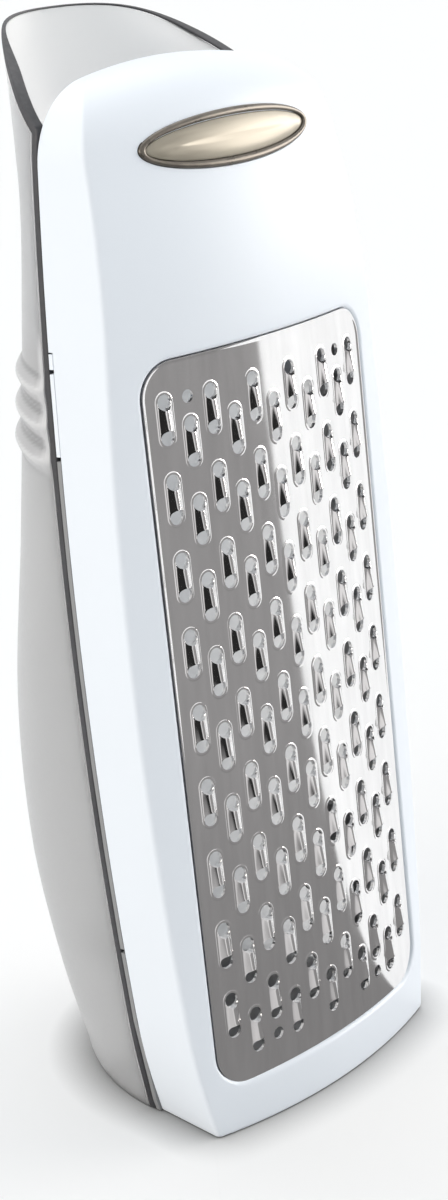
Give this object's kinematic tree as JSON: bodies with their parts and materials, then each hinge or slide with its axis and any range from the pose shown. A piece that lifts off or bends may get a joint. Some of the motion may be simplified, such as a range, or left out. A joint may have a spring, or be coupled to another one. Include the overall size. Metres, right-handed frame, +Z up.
{
  "type": "parmesan grater",
  "caption": "Standing hard-cheese grater: leaning white front with an arched steel grating plate, and a pull-off grey container behind it with side grip ribs and a pour lip",
  "frame": {"origin": "on the table under the middle of the whole object's bounding box", "axes": "+Z up, the grating front faces -Y, the container lies towards +Y, X across the width"},
  "size_m": [0.074, 0.0728, 0.1942],
  "materials": {
    "cover_white": "glossy injection-moulded white plastic",
    "plate_steel": "bright stainless sheet with pressed teeth",
    "frame_grey": "fine matte light-grey plastic",
    "bezel_bronze": "dark bronze metallic ring",
    "inlay_champagne": "satin champagne metallic face",
    "container_grey": "satin pale-grey plastic",
    "edging_dark": "dark-grey elastomer edging"
  },
  "bodies": {
    "grating_unit": {"front_cover": "cover_white", "grater_plate": "plate_steel", "plate_frame": "frame_grey", "badge_bezel": "bezel_bronze", "badge_inlay": "inlay_champagne"},
    "container_unit": {"container": "container_grey", "rim_seal": "edging_dark"}
  },
  "joints": [
    {"name": "container_pull", "type": "slide", "parent": "grating_unit", "child": "container_unit", "axis": [0, 1, 0], "range_m": [0, 0.06]}
  ]
}
